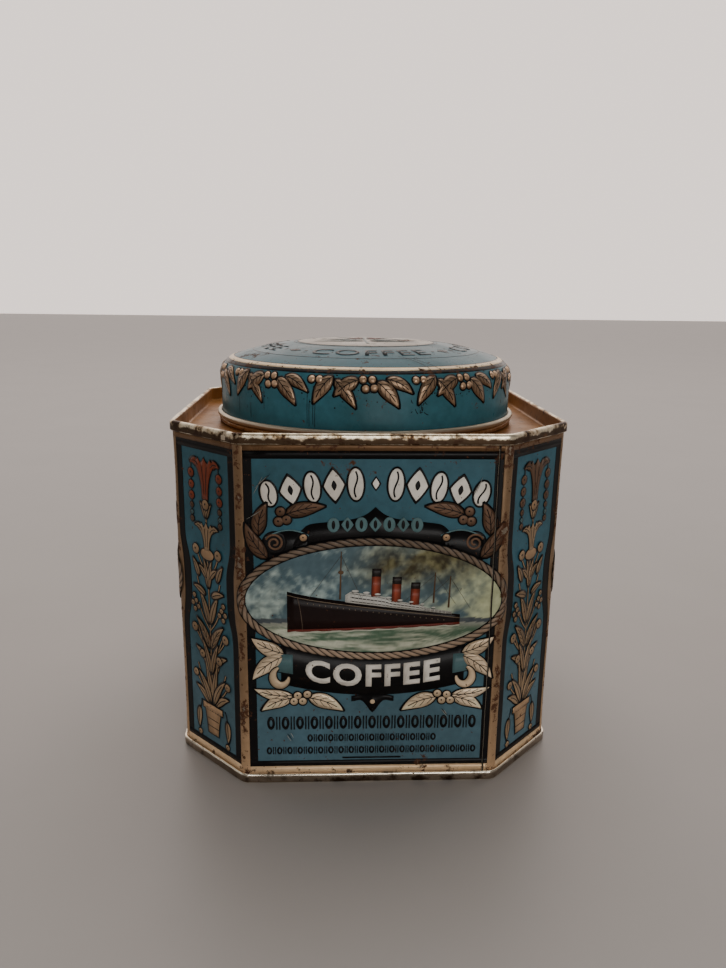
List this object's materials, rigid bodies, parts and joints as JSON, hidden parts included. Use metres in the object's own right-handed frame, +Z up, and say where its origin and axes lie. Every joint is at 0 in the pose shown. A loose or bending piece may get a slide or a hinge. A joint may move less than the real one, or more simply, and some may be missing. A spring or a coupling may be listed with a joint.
{
  "type": "lidded canister tin",
  "caption": "Eight-sided tinplate canister with a sunk deck and a round slip-on lid over a neck, made to hold ground coffee.",
  "frame": {"origin": "centre of the footprint, on the surface that the tin stands on", "axes": "+Z up through the middle of the lid, -Y out of the broad face with the side seam, +X to the right of that face"},
  "size_m": [0.1222, 0.1222, 0.1322],
  "materials": {
    "printed_tinplate": "printed and varnished tinplate, teal with gold frames, worn and rubbed",
    "printed_lid": "printed and varnished tinplate, teal with a gold relief frieze, scratched",
    "bare_tinplate": "dull worn tin with brown stains",
    "lacquered_tinplate": "gold lacquer over tin, rubbed and rusted",
    "neck_lacquer": "gold lacquer over tin",
    "sealing_compound": "matt"
  },
  "bodies": {
    "can": {"body_sheet": "printed_tinplate", "bottom_end": "bare_tinplate", "top_end": "lacquered_tinplate", "neck_ring": "neck_lacquer", "top_seam_compound": "sealing_compound", "bottom_seam_compound": "sealing_compound"},
    "lid": {"lid": "printed_lid"}
  },
  "joints": [
    {"name": "lid_lift", "type": "slide", "parent": "can", "child": "lid", "axis": [0, 0, 1], "range_m": [0, 0.06]}
  ]
}
